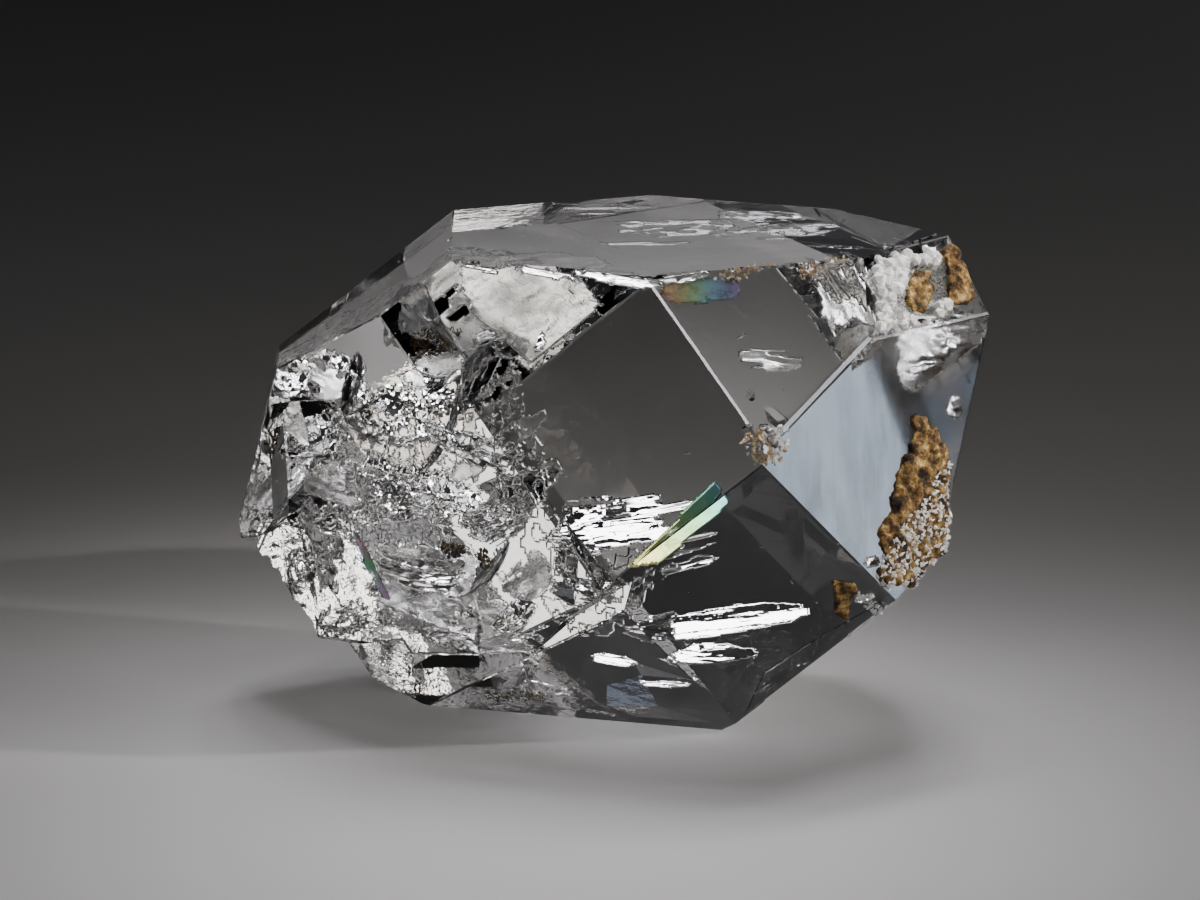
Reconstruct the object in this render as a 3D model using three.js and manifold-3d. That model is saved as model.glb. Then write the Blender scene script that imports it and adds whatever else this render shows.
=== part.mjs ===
// Herkimer diamond: one doubly terminated quartz crystal, 26 mm long, with limonite crusts on it.
// Millimetres, +Z up. The crystal lies on one of its lower rhomb faces, and the origin is on the
// surface that it rests on, under the middle of its box.
import * as THREE from 'three';
import { ConvexGeometry } from 'three/addons/geometries/ConvexGeometry.js';
import { mergeVertices } from 'three/addons/utils/BufferGeometryUtils.js';
import Module from 'manifold-3d';

const wasm = await Module();
wasm.setup();

// ---- Driving dimensions -------------------------------------------------------------------

// Quartz: length of the c axis over the a axis. It sets the slope of the rhomb faces.
const AXIAL_RATIO = 1.10004;

// Distance of each face from the crystal's centre. Keys are degrees around the c axis.
// The six prism faces run along the c axis, and six rhomb faces close each end.
const FACE_DISTANCE = {
  prism: { 0: 6.65, 60: 8.83, 120: 9.69, 180: 9.45, 240: 9.03, 300: 9.03 },
  upper: { 0: 8.82, 60: 10.26, 120: 12.15, 180: 10.23, 240: 10.87, 300: 7.38 },
  lower: { 0: 6.87, 60: 7.99, 120: 9.12, 180: 9.15, 240: 12.19, 300: 11.61 },
};
const TOP_AZIMUTH = 300;            // the upper rhomb face that looks straight up
const REST_FACE = ['lower', 120];   // the face that it lies on

// Broken contact at the upper right, where the crystal once leaned on its host rock.
const CONTACT_HEADING = -42.4;      // degrees from +X, seen from above
const CONTACT_RISE = 35.5;          // degrees above the horizontal
const CONTACT_DISTANCE = 10.99;

// Worn corner at the lower left, and the narrow flats along two of the edges.
const LOWER_LEFT_NORMAL = [-0.447, -0.213, -0.868];
const LOWER_LEFT_DISTANCE = 10.75;
const RIGHT_BEVEL_DEPTH = 0.055;
const LEFT_BEVEL_DEPTH = 0.14;

// The lower left rhomb face steps back twice towards the bottom of the crystal.
const MIDDLE_LEDGE_DISTANCE = 6.12;
const BOTTOM_LEDGE_DISTANCE = 5.30;

const CRUST_SEAT_GAP = 0.05;        // air between a crust and the face that carries it
const SKIN = 0.3;                   // how deep an added lump reaches into the crystal
const FAR = 40;                     // past the crystal on every side

// ---- Small helpers ------------------------------------------------------------------------

const radians = THREE.MathUtils.degToRad;

function makeRandom(seed) {
  let state = seed;
  return () => {
    state = (state * 1664525 + 1013904223) % 4294967296;
    return state / 4294967296;
  };
}

function between(random, low, high) {
  return low + (high - low) * random();
}

function toSolid(geometry) {
  const bare = geometry.index ? geometry.toNonIndexed() : geometry.clone();
  bare.deleteAttribute('normal');
  bare.deleteAttribute('uv');
  const merged = mergeVertices(bare, 1e-5);
  const mesh = new wasm.Mesh({
    numProp: 3,
    vertProperties: new Float32Array(merged.attributes.position.array),
    triVerts: new Uint32Array(merged.index.array),
  });
  return new wasm.Manifold(mesh);
}

function toGeometry(solid) {
  const mesh = solid.getMesh();
  const geometry = new THREE.BufferGeometry();
  geometry.setAttribute('position', new THREE.BufferAttribute(mesh.vertProperties, 3));
  geometry.setIndex(new THREE.BufferAttribute(mesh.triVerts, 1));
  geometry.computeVertexNormals();
  return geometry;
}

// The convex body inside a list of planes, each with an outward normal and a distance.
function bodyInside(planes) {
  const corners = [];
  const cross = new THREE.Vector3();
  for (let i = 0; i < planes.length; i += 1) {
    for (let j = i + 1; j < planes.length; j += 1) {
      for (let k = j + 1; k < planes.length; k += 1) {
        const [a, b, c] = [planes[i], planes[j], planes[k]];
        const volume = a.normal.dot(cross.crossVectors(b.normal, c.normal));
        if (Math.abs(volume) < 1e-6) continue;
        const corner = new THREE.Vector3()
          .addScaledVector(new THREE.Vector3().crossVectors(b.normal, c.normal), a.distance)
          .addScaledVector(new THREE.Vector3().crossVectors(c.normal, a.normal), b.distance)
          .addScaledVector(new THREE.Vector3().crossVectors(a.normal, b.normal), c.distance)
          .divideScalar(volume);
        const inside = planes.every((p) => p.normal.dot(corner) <= p.distance + 1e-7);
        const known = corners.some((other) => other.distanceTo(corner) < 1e-4);
        if (inside && !known) corners.push(corner);
      }
    }
  }
  return new ConvexGeometry(corners);
}

// ---- Quartz faces -------------------------------------------------------------------------

const RHOMB_POLAR = Math.atan((2 / Math.sqrt(3)) * AXIAL_RATIO);
const BELT_POLAR = { prism: Math.PI / 2, upper: RHOMB_POLAR, lower: Math.PI - RHOMB_POLAR };
const C_AXIS = new THREE.Vector3(Math.sin(RHOMB_POLAR), 0, Math.cos(RHOMB_POLAR));
const TOP_SIDE = new THREE.Vector3(-Math.cos(RHOMB_POLAR), 0, Math.sin(RHOMB_POLAR));
const FRONT_SIDE = new THREE.Vector3(0, -1, 0);

function faceNormal(belt, azimuth) {
  const turn = radians(azimuth - TOP_AZIMUTH);
  const polar = BELT_POLAR[belt];
  return new THREE.Vector3()
    .addScaledVector(TOP_SIDE, Math.sin(polar) * Math.cos(turn))
    .addScaledVector(FRONT_SIDE, Math.sin(polar) * Math.sin(turn))
    .addScaledVector(C_AXIS, Math.cos(polar));
}

function facePlane(belt, azimuth, distance = FACE_DISTANCE[belt][azimuth]) {
  return { normal: faceNormal(belt, azimuth), distance };
}

// All 18 faces, with the named one moved out by `rise`.
function crystalPlanes(raised = null, rise = 0) {
  const planes = [];
  for (const belt of Object.keys(FACE_DISTANCE)) {
    for (const azimuth of Object.keys(FACE_DISTANCE[belt]).map(Number)) {
      const isRaised = raised !== null && raised[0] === belt && raised[1] === azimuth;
      planes.push(facePlane(belt, azimuth, FACE_DISTANCE[belt][azimuth] + (isRaised ? rise : 0)));
    }
  }
  return planes;
}

// Local frame on a plane: X level and to the right seen from outside, Y up the face, Z outwards.
function frameOn(plane) {
  const up = new THREE.Vector3(0, 0, 1);
  const level = Math.abs(plane.normal.z) > 0.999;
  const right = level ? new THREE.Vector3(1, 0, 0) : up.cross(plane.normal).normalize();
  const along = new THREE.Vector3().crossVectors(plane.normal, right);
  const frame = new THREE.Matrix4().makeBasis(right, along, plane.normal);
  return frame.setPosition(plane.normal.clone().multiplyScalar(plane.distance));
}

// A block with the given outline, from `low` to `high` above a plane.
function blockOn(plane, outline, low, high) {
  const shape = new THREE.Shape(outline.map(([x, y]) => new THREE.Vector2(x, y)));
  const block = new THREE.ExtrudeGeometry(shape, { depth: high - low, bevelEnabled: false });
  block.translate(0, 0, low);
  block.applyMatrix4(frameOn(plane));
  return toSolid(block);
}

function meanPlane(first, second, depth) {
  const sum = first.normal.clone().add(second.normal);
  const distance = (first.distance + second.distance) / sum.length() - depth;
  return { normal: sum.normalize(), distance };
}

const contactPlane = {
  normal: new THREE.Vector3(
    Math.cos(radians(CONTACT_RISE)) * Math.cos(radians(CONTACT_HEADING)),
    Math.cos(radians(CONTACT_RISE)) * Math.sin(radians(CONTACT_HEADING)),
    Math.sin(radians(CONTACT_RISE)),
  ),
  distance: CONTACT_DISTANCE,
};

// Limonite patches on the contact, in mm on its plane.
const CONTACT_PATCH_LEFT = [
  [6.1, -0.2], [6.65, 0.4], [7.25, 0.1], [6.9, -0.6], [6.3, -1.15], [5.6, -1.2], [5.4, -0.75], [5.75, -0.45],
];
const CONTACT_PATCH_RIGHT = [
  [7.5, -1.0], [8.15, -0.25], [8.3, 0.7], [8.85, 0.85], [8.95, 0.1], [8.9, -1.2], [7.7, -1.35],
];

const lowerLeftPlane = {
  normal: new THREE.Vector3(...LOWER_LEFT_NORMAL).normalize(),
  distance: LOWER_LEFT_DISTANCE,
};

// ---- The crystal's main form --------------------------------------------------------------

function mainForm() {
  const bevel = meanPlane(facePlane('upper', 0), facePlane('upper', 60), RIGHT_BEVEL_DEPTH);
  return toSolid(bodyInside([...crystalPlanes(), contactPlane, lowerLeftPlane, bevel]));
}

// Outlines of the two ledges, in mm on the lower left rhomb face. Each starts with its irregular
// upper line, from left to right, and then runs round the outside of the crystal.
const MIDDLE_LEDGE = [
  [-14, -4.2], [-10.7, -3.4], [-10.3, -3.15], [-9.75, -2.6], [-9.7, -0.8], [-9.75, 0.7],
  [-9.3, 1.75], [-7.9, 2.05], [-6.1, 2.45], [-5.5, 1.95], [-4.3, 2.7], [-3.7, 3.0],
  [-2.3, 2.95], [-1.25, 3.5], [-0.45, 4.3], [3, 6], [9, 2], [9, -12], [-14, -12],
];
const BOTTOM_LEDGE = [
  [-14, -7.4], [-8.0, -6.9], [-6.2, -6.75], [-4.55, -6.25], [-4.05, -6.7], [-0.2, -6.0],
  [2.0, -5.6], [3.05, -4.8], [4.2, -3.9], [9, -1], [9, -12], [-14, -12],
];

const middleLedgePlane = facePlane('lower', 0, MIDDLE_LEDGE_DISTANCE);
const bottomLedgePlane = facePlane('lower', 0, BOTTOM_LEDGE_DISTANCE);

function stepBack(crystal) {
  const rounding = meanPlane(facePlane('prism', 0), middleLedgePlane, LEFT_BEVEL_DEPTH);
  const square = [[-FAR, -FAR], [FAR, -FAR], [FAR, FAR], [-FAR, FAR]];
  const overRounding = blockOn(rounding, square, 0, FAR);
  const belowLedge = blockOn(middleLedgePlane, MIDDLE_LEDGE, -2, FAR);
  return crystal
    .subtract(blockOn(middleLedgePlane, MIDDLE_LEDGE, 0, FAR))
    .subtract(blockOn(bottomLedgePlane, BOTTOM_LEDGE, 0, FAR))
    .subtract(overRounding.intersect(belowLedge));
}

// Thin sheets of later growth. Each covers part of one face, ends at an irregular riser, and
// keeps the neighbouring faces flush where its outline runs past an edge.
// [belt, azimuth, height, outline]
const SHEETS = [
  ['upper', 300, 0.07, [[-6, -3.0], [1.2, -4.5], [0.7, -0.9], [-2.1, 4.2], [-1.2, 8.0], [-6, 8.0]]],
  ['upper', 300, 0.06, [[7.6, 5.4], [9.9, -0.9], [10.6, -0.5], [11.8, 1.3]]],
  ['prism', 60, 0.05, [[3.0, -6.0], [3.6, -3.6], [5.2, -2.4], [7.6, -0.9], [9.0, -2.0]]],
  ['upper', 180, 0.06, [
    [-10, 2.4], [-6.6, 1.2], [-5.2, 1.9], [-3.4, 0.6], [-2.2, 1.4], [-0.6, 0.2], [1.0, 1.6],
    [0.2, 3.4], [-0.8, 4.2], [-0.4, 8], [-10, 8],
  ]],
  ['upper', 180, 0.11, [[-7.2, 5.2], [-8.6, 3.9], [-6.4, 2.4], [-4.4, 2.9], [-5.0, 4.6]]],
  ['prism', 240, 0.05, [
    [-9, -4.4], [-4.2, -3.6], [-2.9, -2.3], [-2.4, -1.9], [-0.9, -0.2], [-0.2, 0.3], [1.2, 2.1],
    [1.6, 2.3], [3.4, 4.6], [-9, 6],
  ]],
  ['prism', 240, 0.1, [
    [-9, -1.6], [-5.0, -0.6], [-3.9, 0.4], [-3.5, 0.5], [-2.2, 2.2], [-1.7, 2.5], [-0.1, 4.6], [-9, 6],
  ]],
  ['prism', 120, 0.07, [
    [-6, 3.2], [-2.6, 3.4], [-1.2, 3.1], [0.6, 3.5], [2.4, 3.2], [6, 3.6], [6, 9], [-6, 9],
  ]],
  ['prism', 120, 0.05, [
    [-6, -0.6], [-3.1, -0.2], [-0.4, -0.5], [0.3, -0.1], [1.9, -0.4], [2.1, -3], [-6, -3],
  ]],
  ['lower', 180, 0.06, [
    [12, -2.4], [12, 7], [4.6, 7], [3.9, 4.4], [5.2, 3.1], [4.9, 1.8], [6.4, 0.6], [6.1, -0.7], [7.4, -1.6],
  ]],
  ['lower', 180, 0.05, [
    [-7, -5], [0.8, -5], [0.4, -3.1], [-0.9, -2.4], [-1.3, -1.2], [-2.9, -0.6], [-5.2, -0.9],
  ]],
  ['lower', 240, 0.06, [[2.9, -3], [3.4, -0.9], [2.6, -0.2], [3.1, 3], [7, 3], [7, -5]]],
];

function addSheets(crystal) {
  let grown = crystal;
  for (const [belt, azimuth, height, outline] of SHEETS) {
    const planes = [...crystalPlanes([belt, azimuth], height), contactPlane, lowerLeftPlane];
    const sheet = blockOn(facePlane(belt, azimuth), outline, -SKIN, height + SKIN);
    grown = grown.add(sheet.intersect(toSolid(bodyInside(planes))));
  }
  return grown;
}

// ---- Lumps, points and plates that grow on the crystal ------------------------------------

// Low growth hillock at the bottom front, in mm on its face with the height last. Its four
// facets tilt only a few degrees.
const HILLOCK = [
  [3.04, -0.82, 0], [3.24, -1.44, 0.14], [5.06, -1.7, 0.02], [5.58, -2.61, 0], [5.9, -3.7, 0],
  [5.3, -4.6, -0.02], [2.1, -4.6, -0.02], [1.31, -3.94, 0], [1.64, -2.58, 0], [3.42, -3.26, 0.24],
];

function hillock() {
  const plane = facePlane('lower', 60);
  const crown = HILLOCK.map((point) => new THREE.Vector3(...point));
  const root = HILLOCK.map(([x, y]) => new THREE.Vector3(0.85 * x + 0.5, 0.85 * y - 0.4, -SKIN));
  const geometry = new ConvexGeometry([...crown, ...root]);
  geometry.applyMatrix4(frameOn(plane));
  return toSolid(geometry);
}

// A six-sided quartz point or plate: `width` across, `length` from tip to tip along its Z.
function quartzPoint(width, length, flatness) {
  const radius = width / 2;
  const shoulder = length / 2 - radius * 0.9 * flatness;
  const corners = [new THREE.Vector3(0, 0, length / 2), new THREE.Vector3(0, 0, -length / 2)];
  for (let side = 0; side < 6; side += 1) {
    const angle = (side * Math.PI) / 3;
    for (const z of [shoulder, -shoulder]) {
      corners.push(new THREE.Vector3(radius * Math.cos(angle), radius * flatness * Math.sin(angle), z));
    }
  }
  return new ConvexGeometry(corners);
}

function placeOn(plane, x, y, height, tilt, heading, geometry) {
  const turn = new THREE.Matrix4().makeRotationFromEuler(new THREE.Euler(tilt, 0, heading, 'ZXY'));
  geometry.applyMatrix4(turn);
  geometry.translate(x, y, height);
  geometry.applyMatrix4(frameOn(plane));
  return toSolid(geometry);
}

// Druse: a crust of small quartz points over the broken contact, with bare spots where the
// limonite sits.
const DRUSE_COUNT = 74;
const DRUSE_FIELD = { left: 3.4, right: 9.0, bottom: -1.5, top: 1.05 };
const DRUSE_CLEARANCE = 0.36;

function distanceToOutline(x, y, outline) {
  let nearest = Infinity;
  for (let index = 0; index < outline.length; index += 1) {
    const [ax, ay] = outline[index];
    const [bx, by] = outline[(index + 1) % outline.length];
    const length = (bx - ax) ** 2 + (by - ay) ** 2;
    const share = THREE.MathUtils.clamp(((x - ax) * (bx - ax) + (y - ay) * (by - ay)) / length, 0, 1);
    nearest = Math.min(nearest, Math.hypot(x - ax - share * (bx - ax), y - ay - share * (by - ay)));
  }
  return nearest;
}

function isInside(x, y, outline) {
  let inside = false;
  for (let index = 0; index < outline.length; index += 1) {
    const [ax, ay] = outline[index];
    const [bx, by] = outline[(index + 1) % outline.length];
    if (ay > y !== by > y && x < ax + ((bx - ax) * (y - ay)) / (by - ay)) inside = !inside;
  }
  return inside;
}

function inDruseField(x, y) {
  const slantLeft = x > 3.6 + 0.55 * (y + 1.5);
  const bare = [CONTACT_PATCH_LEFT, CONTACT_PATCH_RIGHT].some((outline) => (
    isInside(x, y, outline) || distanceToOutline(x, y, outline) < DRUSE_CLEARANCE
  ));
  return slantLeft && !bare;
}

function drusePoints() {
  const random = makeRandom(71);
  const points = [];
  while (points.length < DRUSE_COUNT) {
    const x = between(random, DRUSE_FIELD.left, DRUSE_FIELD.right);
    const y = between(random, DRUSE_FIELD.bottom, DRUSE_FIELD.top);
    if (!inDruseField(x, y)) continue;
    const width = between(random, 0.24, 0.52);
    const length = width * between(random, 1.5, 2.3);
    const tilt = between(random, -0.75, 0.75);
    const heading = between(random, 0, 2 * Math.PI);
    points.push(placeOn(contactPlane, x, y, -0.06, tilt, heading, quartzPoint(width, length, 1)));
  }
  return points;
}

// Small tabular crystals where four faces meet at the front. [x, y, width, length, tilt, heading]
const FRONT_PLATES = [
  [3.05, -4.15, 0.62, 1.25, 1.25, 0.35],
  [2.35, -3.35, 0.42, 0.55, 0.6, 1.9],
  [2.55, -4.75, 0.45, 0.6, 0.9, 2.6],
  [2.0, -4.55, 0.36, 0.5, 0.5, 0.9],
  [2.75, -5.2, 0.4, 0.55, 1.1, 4.1],
];

function frontPlates() {
  const plane = facePlane('upper', 0);
  return FRONT_PLATES.map(([x, y, width, length, tilt, heading]) => (
    placeOn(plane, x, y, -0.03, tilt, heading, quartzPoint(width, length, 0.55))
  ));
}

// ---- Chips, scoops and pits ---------------------------------------------------------------

// The point on the edge between two faces, `along` mm from the place nearest to the centre.
function edgePoint(first, second, along) {
  const direction = new THREE.Vector3().crossVectors(first.normal, second.normal);
  const volume = direction.length();
  direction.normalize();
  return new THREE.Vector3()
    .addScaledVector(new THREE.Vector3().crossVectors(second.normal, direction), first.distance)
    .addScaledVector(new THREE.Vector3().crossVectors(direction, first.normal), second.distance)
    .addScaledVector(direction, along * volume)
    .divideScalar(volume);
}

function scoopAt(centre, outward, radius, depth, random) {
  const scoop = new THREE.IcosahedronGeometry(radius, 1);
  scoop.scale(1, between(random, 0.55, 1), between(random, 0.7, 1));
  scoop.rotateZ(between(random, 0, Math.PI));
  scoop.rotateX(between(random, 0, Math.PI));
  const offset = outward.clone().multiplyScalar(radius - depth);
  scoop.translate(centre.x + offset.x, centre.y + offset.y, centre.z + offset.z);
  return toSolid(scoop);
}

// Rows of conchoidal chips along the edges. [face, face, from, to, count, radius, depth]
const CHIPPED_EDGES = [
  [facePlane('upper', 300), facePlane('prism', 0), -4.0, 3.0, 9, 0.34, 0.13],
  [facePlane('upper', 300), facePlane('upper', 0), -0.1, 7.7, 14, 0.34, 0.13],
  [facePlane('upper', 300), facePlane('prism', 300), -5.0, 2.3, 5, 0.26, 0.1],
  [facePlane('upper', 300), facePlane('upper', 180), -7.3, -1.6, 6, 0.3, 0.12],
  [facePlane('prism', 240), facePlane('lower', 180), -1.6, 5.4, 6, 0.36, 0.13],
  [middleLedgePlane, facePlane('lower', 180), -5.4, -0.7, 11, 0.42, 0.2],
  [bottomLedgePlane, lowerLeftPlane, -5.1, -2.7, 6, 0.34, 0.15],
];

function edgeChips() {
  const random = makeRandom(19);
  const chips = [];
  for (const [first, second, from, to, count, radius, depth] of CHIPPED_EDGES) {
    const outward = first.normal.clone().add(second.normal).normalize();
    for (let index = 0; index < count; index += 1) {
      const along = from + ((to - from) * (index + between(random, 0.1, 0.9))) / count;
      const size = radius * between(random, 0.6, 1.3);
      const bite = depth * between(random, 0.6, 1.3);
      chips.push(scoopAt(edgePoint(first, second, along), outward, size, bite, random));
    }
  }
  return chips;
}

// Pits on the faces. [face, x, y, radius, depth]
const PITS = [
  [middleLedgePlane, -6.4, -6.0, 0.5, 0.25],
  [middleLedgePlane, -7.6, -4.9, 0.42, 0.2],
  [middleLedgePlane, -9.2, -2.9, 0.35, 0.16],
  [facePlane('upper', 300), 3.4, 4.6, 1.3, 0.1],
  [facePlane('upper', 300), 5.6, 2.6, 1.1, 0.09],
  [facePlane('upper', 300), 7.0, 4.0, 0.9, 0.1],
  [facePlane('upper', 180), 1.2, 0.4, 0.7, 0.16],
  [facePlane('prism', 240), -4.2, 1.4, 0.8, 0.18],
  [facePlane('prism', 180), -2.2, 0.6, 0.6, 0.14],
];

function facePits() {
  const random = makeRandom(5);
  return PITS.map(([plane, x, y, radius, depth]) => {
    const centre = new THREE.Vector3(x, y, 0).applyMatrix4(frameOn(plane));
    return scoopAt(centre, plane.normal, radius, depth, random);
  });
}

// ---- Limonite crusts ----------------------------------------------------------------------

// A lumpy crust with the given outline, thin at its rim, lying just off a plane.
function crust(plane, outline, thickness, seed, cell = 0.3) {
  const random = makeRandom(seed);
  const xs = outline.map((point) => point[0]);
  const ys = outline.map((point) => point[1]);
  const [left, bottom] = [Math.min(...xs) - cell, Math.min(...ys) - cell];
  const columns = Math.ceil((Math.max(...xs) + cell - left) / cell);
  const rows = Math.ceil((Math.max(...ys) + cell - bottom) / cell);
  const top = [];
  const floor = [];
  for (let row = 0; row <= rows; row += 1) {
    for (let column = 0; column <= columns; column += 1) {
      const inner = row > 0 && row < rows && column > 0 && column < columns;
      const x = left + cell * (column + (inner ? between(random, -0.25, 0.25) : 0));
      const y = bottom + cell * (row + (inner ? between(random, -0.25, 0.25) : 0));
      const rim = Math.min(1, distanceToOutline(x, y, outline) / 0.45);
      const lump = thickness * (0.3 + 0.5 * Math.sqrt(rim)) * between(random, 0.7, 1.35);
      top.push(x, y, CRUST_SEAT_GAP + lump);
      floor.push(x, y, CRUST_SEAT_GAP);
    }
  }
  const layer = (rows + 1) * (columns + 1);
  const at = (row, column) => row * (columns + 1) + column;
  const index = [];
  const quad = (a, b, c, d) => index.push(a, b, c, a, c, d);
  for (let row = 0; row < rows; row += 1) {
    for (let column = 0; column < columns; column += 1) {
      const [a, b] = [at(row, column), at(row, column + 1)];
      const [c, d] = [at(row + 1, column + 1), at(row + 1, column)];
      quad(a, b, c, d);
      quad(d + layer, c + layer, b + layer, a + layer);
    }
  }
  for (let column = 0; column < columns; column += 1) {
    const [a, b] = [at(0, column), at(0, column + 1)];
    const [c, d] = [at(rows, column), at(rows, column + 1)];
    quad(a + layer, b + layer, b, a);
    quad(d + layer, c + layer, c, d);
  }
  for (let row = 0; row < rows; row += 1) {
    const [a, b] = [at(row, 0), at(row + 1, 0)];
    const [c, d] = [at(row, columns), at(row + 1, columns)];
    quad(b + layer, a + layer, a, b);
    quad(c + layer, d + layer, d, c);
  }
  const slab = new THREE.BufferGeometry();
  slab.setAttribute('position', new THREE.Float32BufferAttribute([...top, ...floor], 3));
  slab.setIndex(index);
  slab.applyMatrix4(frameOn(plane));
  return toSolid(slab).intersect(blockOn(plane, outline, 0, FAR));
}

const CRUSTS = [
  {
    name: 'limonite_crust_right',
    plane: facePlane('upper', 60),
    outline: [
      [4.75, 1.3], [5.6, 1.15], [6.3, 0.45], [6.6, -0.4], [6.4, -1.0], [6.55, -2.7], [6.45, -3.3],
      [5.9, -3.85], [5.2, -4.2], [4.2, -4.6], [3.0, -4.35], [2.85, -3.85], [3.25, -3.55],
      [2.95, -3.0], [3.1, -2.5], [3.5, -2.05], [3.8, -1.4], [4.15, -0.55], [4.8, 0.0], [5.0, 0.75],
    ],
    thickness: 0.42,
    seed: 3,
  },
  {
    name: 'limonite_patch_contact_left',
    plane: contactPlane,
    outline: CONTACT_PATCH_LEFT,
    thickness: 0.34,
    seed: 11,
  },
  {
    name: 'limonite_patch_contact_right',
    plane: contactPlane,
    outline: CONTACT_PATCH_RIGHT,
    thickness: 0.4,
    seed: 23,
  },
  {
    name: 'limonite_crumb_front',
    plane: facePlane('prism', 60),
    outline: [
      [5.55, 0.2], [6.05, 0.25], [6.5, 0.05], [6.6, -0.35],
      [6.35, -0.75], [6.4, -1.3], [6.0, -1.35], [5.75, -0.6],
    ],
    thickness: 0.3,
    seed: 31,
    cell: 0.22,
  },
];

// ---- Assembly -----------------------------------------------------------------------------

function quartzSolid() {
  let crystal = stepBack(addSheets(mainForm()));
  for (const hollow of [...edgeChips(), ...facePits()]) {
    crystal = crystal.subtract(hollow);
  }
  for (const growth of [hillock(), ...drusePoints(), ...frontPlates()]) {
    crystal = crystal.add(growth);
  }
  return crystal;
}

const quartz = new THREE.MeshStandardMaterial({ color: 0xe8ebee, roughness: 0.04, metalness: 0 });
const limonite = new THREE.MeshStandardMaterial({ color: 0x6a4620, roughness: 0.9, metalness: 0 });

const herkimer = new THREE.Group();

function addMesh(name, solid, material) {
  const mesh = new THREE.Mesh(toGeometry(solid), material.clone());
  mesh.name = name;
  herkimer.add(mesh);
}

addMesh('quartz_crystal', quartzSolid(), quartz);
for (const { name, plane, outline, thickness, seed, cell } of CRUSTS) {
  addMesh(name, crust(plane, outline, thickness, seed, cell), limonite);
}

// The box's middle goes over the origin, and the resting face to height zero.
const box = new THREE.Box3().setFromObject(herkimer);
const restHeight = FACE_DISTANCE[REST_FACE[0]][REST_FACE[1]];
herkimer.position.set(-(box.min.x + box.max.x) / 2, -(box.min.y + box.max.y) / 2, restHeight);
herkimer.updateMatrixWorld(true);

export default herkimer;
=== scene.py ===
"""Herkimer diamond: a doubly terminated quartz crystal full of fracture veils at its left end, with
limonite crusts on its right, lying on a pale studio floor. Metres, +Z up."""
import math
from typing import NamedTuple

import bmesh
import bpy
import numpy as np
from mathutils import Matrix, Vector, noise
from mathutils.bvhtree import BVHTree


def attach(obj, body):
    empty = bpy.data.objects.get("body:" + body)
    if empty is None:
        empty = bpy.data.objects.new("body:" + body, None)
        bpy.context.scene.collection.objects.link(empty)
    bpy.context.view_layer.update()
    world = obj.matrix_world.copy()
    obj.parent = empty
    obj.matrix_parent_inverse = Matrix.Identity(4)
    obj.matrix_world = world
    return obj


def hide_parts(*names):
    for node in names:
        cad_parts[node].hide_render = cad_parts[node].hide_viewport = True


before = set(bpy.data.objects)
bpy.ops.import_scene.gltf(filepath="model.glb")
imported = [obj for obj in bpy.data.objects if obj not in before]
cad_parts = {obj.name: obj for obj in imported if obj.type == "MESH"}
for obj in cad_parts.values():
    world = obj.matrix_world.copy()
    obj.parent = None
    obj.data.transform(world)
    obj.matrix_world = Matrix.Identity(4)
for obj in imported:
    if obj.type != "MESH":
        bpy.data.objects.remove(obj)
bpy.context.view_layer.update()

MM = 0.001

# ---- Driving dimensions, in millimetres and degrees -----------------------------------------

# The crystal's own centre, which its face distances are measured from.
CENTRE = Vector((-0.4275, -0.866, 9.12))

VIEW_DISTANCE = 517.15
VIEW_ELEVATION = 13.77
VIEW_ROLL = -0.27
VIEW_WIDTH = 42.0            # how much of the crystal's plane the frame's width takes in
SENSOR_WIDTH = 36.0
VIEW_CLIP = (0.05, 20)       # metres

WELD_DISTANCE = 1e-6         # metres
FLAT_ANGLE = math.radians(0.4)

FLOOR_HALF = 2.5             # metres
FLOOR_COLOUR, FLOOR_ROUGHNESS = "#b2b1b1", 0.75


# ---- Small helpers ---------------------------------------------------------------------------

def linear(hex_colour):
    """An sRGB colour such as "#8a5a24" as linear red, green, blue and alpha."""
    channels = [int(hex_colour[i:i + 2], 16) / 255 for i in (1, 3, 5)]
    curve = [c / 12.92 if c <= 0.04045 else ((c + 0.055) / 1.055) ** 2.4 for c in channels]
    return (*curve, 1.0)


def add_node(tree, kind, settings=None, inputs=None):
    """Adds a node. `settings` are its properties; `inputs` are values or sockets by input name or place."""
    made = tree.nodes.new(kind)
    for name, value in (settings or {}).items():
        setattr(made, name, value)
    for key, value in (inputs or {}).items():
        socket = made.inputs[key]
        if isinstance(value, bpy.types.NodeSocket):
            tree.links.new(value, socket)
        else:
            socket.default_value = value
    return made


def new_material(name):
    material = bpy.data.materials.new(name)
    material.use_nodes = True
    material.node_tree.nodes.clear()
    return material


def shade(material, shader):
    add_node(material.node_tree, "ShaderNodeOutputMaterial", inputs={"Surface": shader.outputs[0]})


def add_object(name, mesh, materials):
    piece = bpy.data.objects.new(name, mesh)
    bpy.context.scene.collection.objects.link(piece)
    for material in materials:
        mesh.materials.append(material)
    return piece


def merged_copy(node_name):
    """A CAD node's mesh in one welded bmesh, with its flat faces whole."""
    shape = bmesh.new()
    shape.from_mesh(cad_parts[node_name].data)
    bmesh.ops.remove_doubles(shape, verts=shape.verts, dist=WELD_DISTANCE)
    bmesh.ops.dissolve_limit(shape, angle_limit=FLAT_ANGLE, verts=shape.verts, edges=shape.edges)
    return shape


# ---- Camera, floor and lights ---------------------------------------------------------------

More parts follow.
